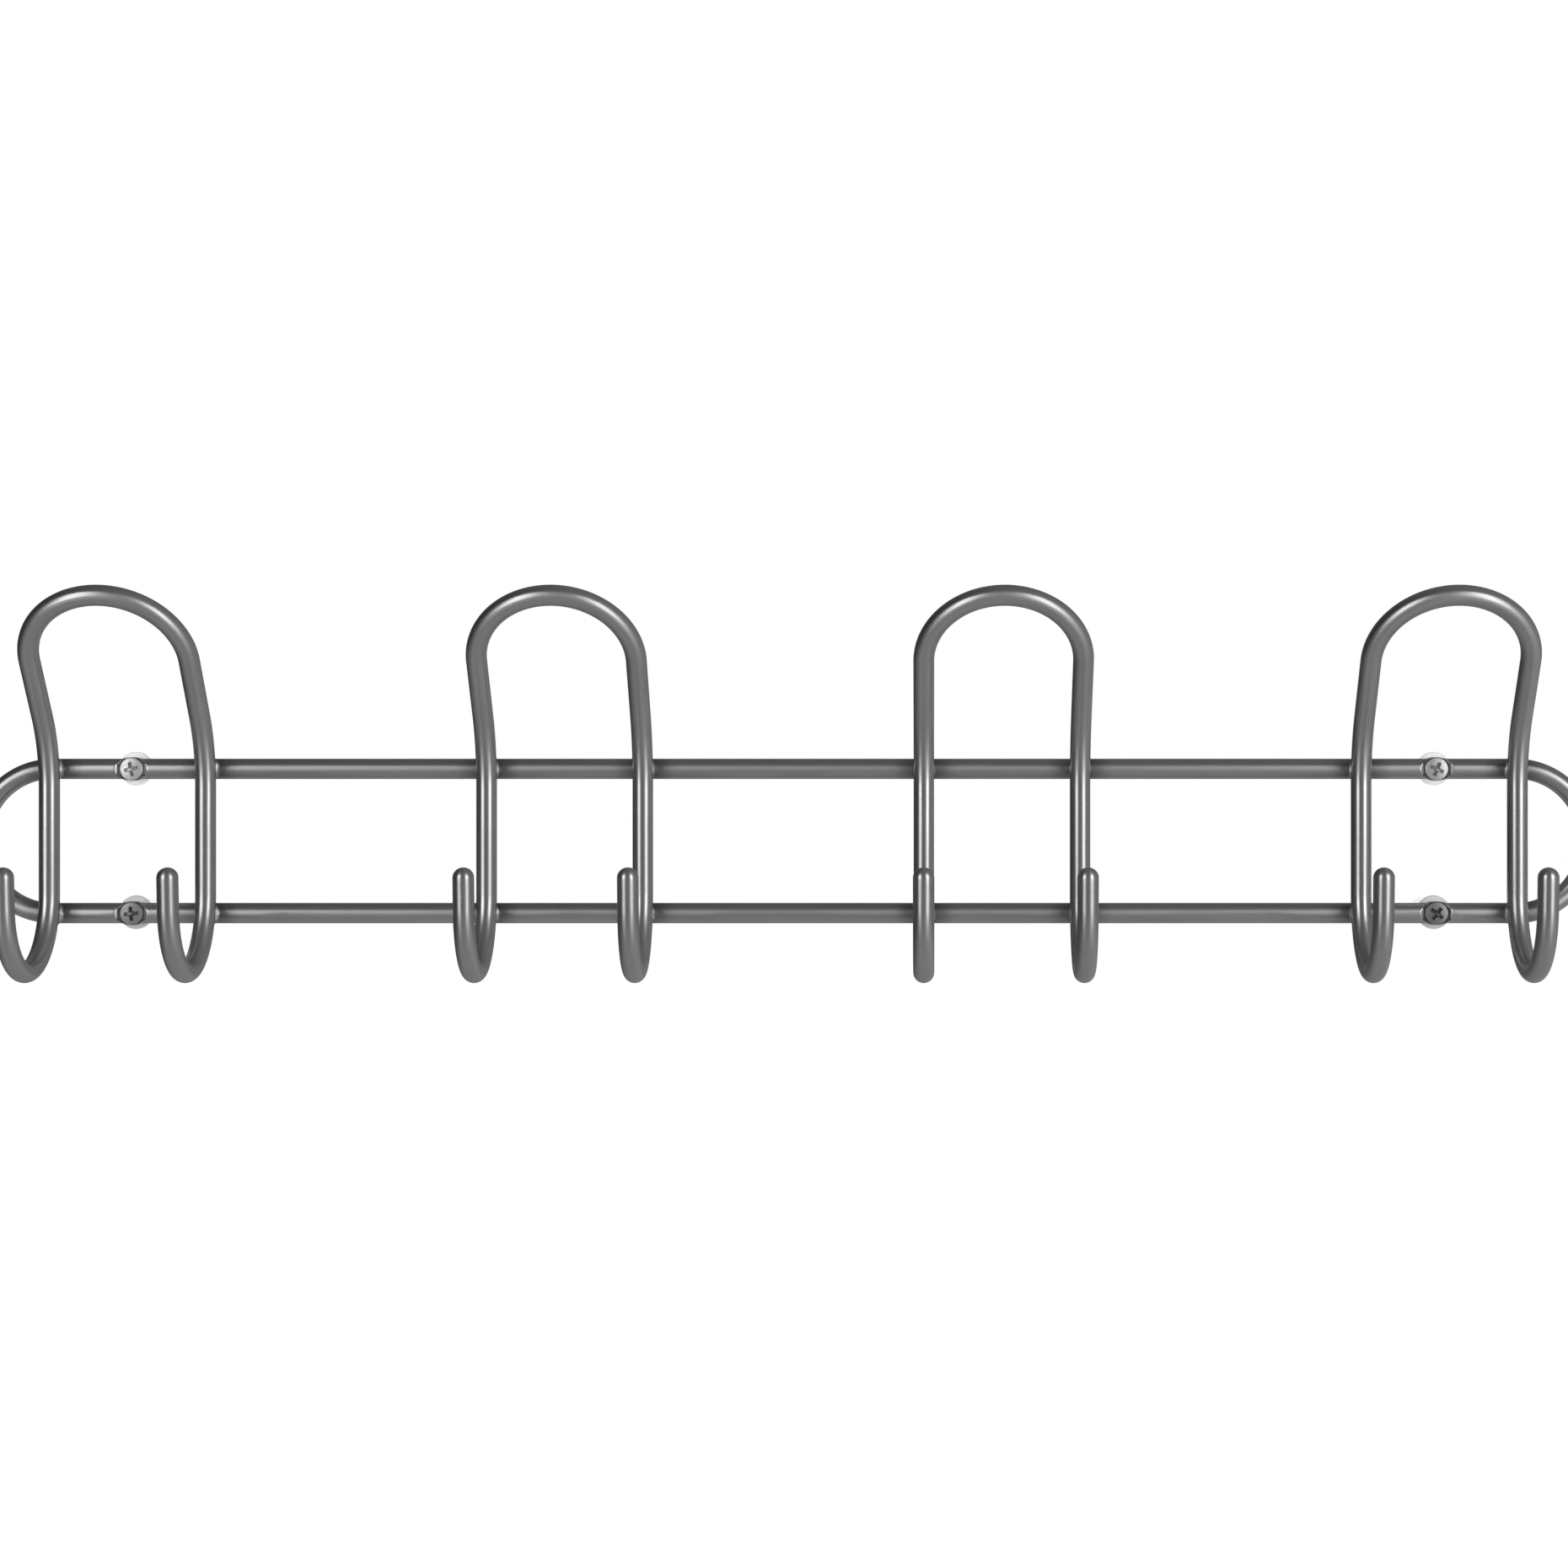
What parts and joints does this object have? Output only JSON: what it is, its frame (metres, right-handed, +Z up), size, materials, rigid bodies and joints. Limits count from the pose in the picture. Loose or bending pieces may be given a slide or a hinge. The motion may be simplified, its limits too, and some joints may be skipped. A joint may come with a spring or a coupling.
{
  "type": "wall hook rack",
  "caption": "Wall rack of bent steel rod: double hooks, each a forward-leaning loop over two J hooks, welded across an obround rod ring that is screwed to the wall.",
  "frame": {"origin": "centre of the rectangle of four wall anchors, on the wall's face", "axes": "+X along the rack, to the right as seen from the room; +Y into the wall; +Z up"},
  "size_m": [0.508, 0.0862, 0.1199],
  "materials": {
    "plated_rod": "satin dark nickel plating over drawn steel rod",
    "weld_metal": "plated weld nugget, slightly rough",
    "screw_steel": "zinc-plated steel",
    "anchor_plastic": "translucent natural nylon"
  },
  "bodies": {
    "root": {"frame_ring": "plated_rod", "hook_1": "plated_rod", "hook_2": "plated_rod", "hook_3": "plated_rod", "hook_4": "plated_rod", "weld_1_left_top": "weld_metal", "weld_1_left_bottom": "weld_metal", "weld_1_right_top": "weld_metal", "weld_1_right_bottom": "weld_metal", "weld_2_left_top": "weld_metal", "weld_2_left_bottom": "weld_metal", "weld_2_right_top": "weld_metal", "weld_2_right_bottom": "weld_metal", "weld_3_left_top": "weld_metal", "weld_3_left_bottom": "weld_metal", "weld_3_right_top": "weld_metal", "weld_3_right_bottom": "weld_metal", "weld_4_left_top": "weld_metal", "weld_4_left_bottom": "weld_metal", "weld_4_right_top": "weld_metal", "weld_4_right_bottom": "weld_metal", "screw_top_left": "screw_steel", "screw_bottom_left": "screw_steel", "screw_top_right": "screw_steel", "screw_bottom_right": "screw_steel", "anchor_top_left": "anchor_plastic", "anchor_bottom_left": "anchor_plastic", "anchor_top_right": "anchor_plastic", "anchor_bottom_right": "anchor_plastic"}
  },
  "joints": []
}
